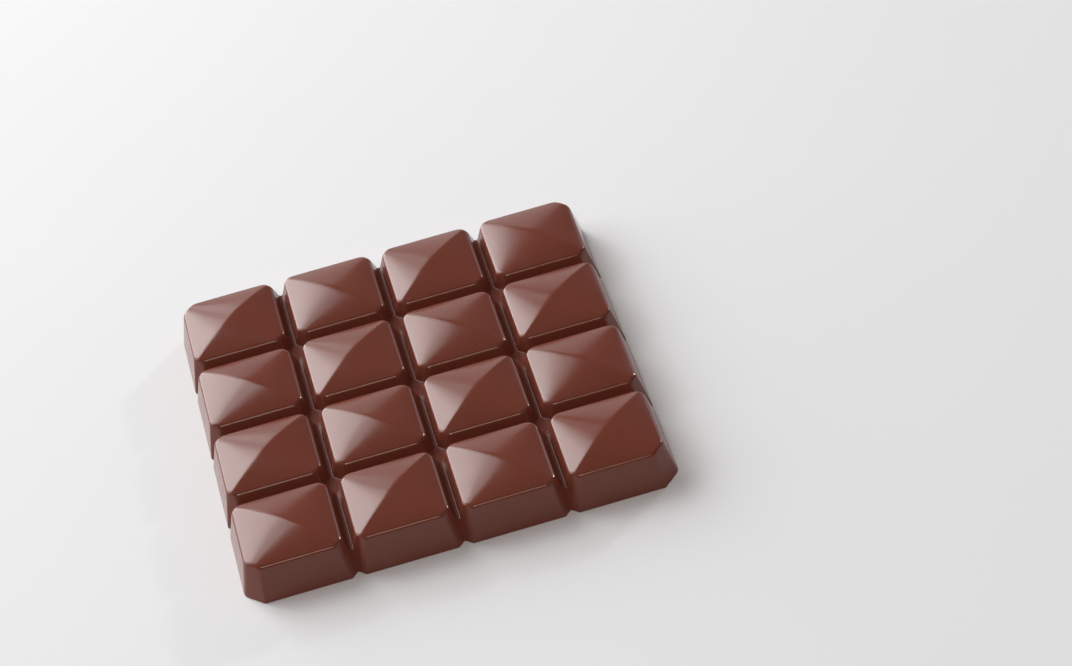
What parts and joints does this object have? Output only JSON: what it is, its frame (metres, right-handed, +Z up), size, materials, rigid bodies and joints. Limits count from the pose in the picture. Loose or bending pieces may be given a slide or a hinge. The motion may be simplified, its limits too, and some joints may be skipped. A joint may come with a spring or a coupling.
{
  "type": "chocolate bar",
  "caption": "Square milk chocolate bar of raised blocks with arched diagonal ridges on one slab, parted by snapping grooves",
  "frame": {"origin": "middle of the bar's outline, on its flat underside", "axes": "X and Y run along the two directions of the grooves, Z points up out of the moulded blocks"},
  "size_m": [0.0902, 0.0902, 0.0102],
  "materials": {
    "milk_chocolate": "satin gloss, as it leaves the mould"
  },
  "bodies": {
    "root": {"chocolate_bar": "milk_chocolate"}
  },
  "joints": []
}
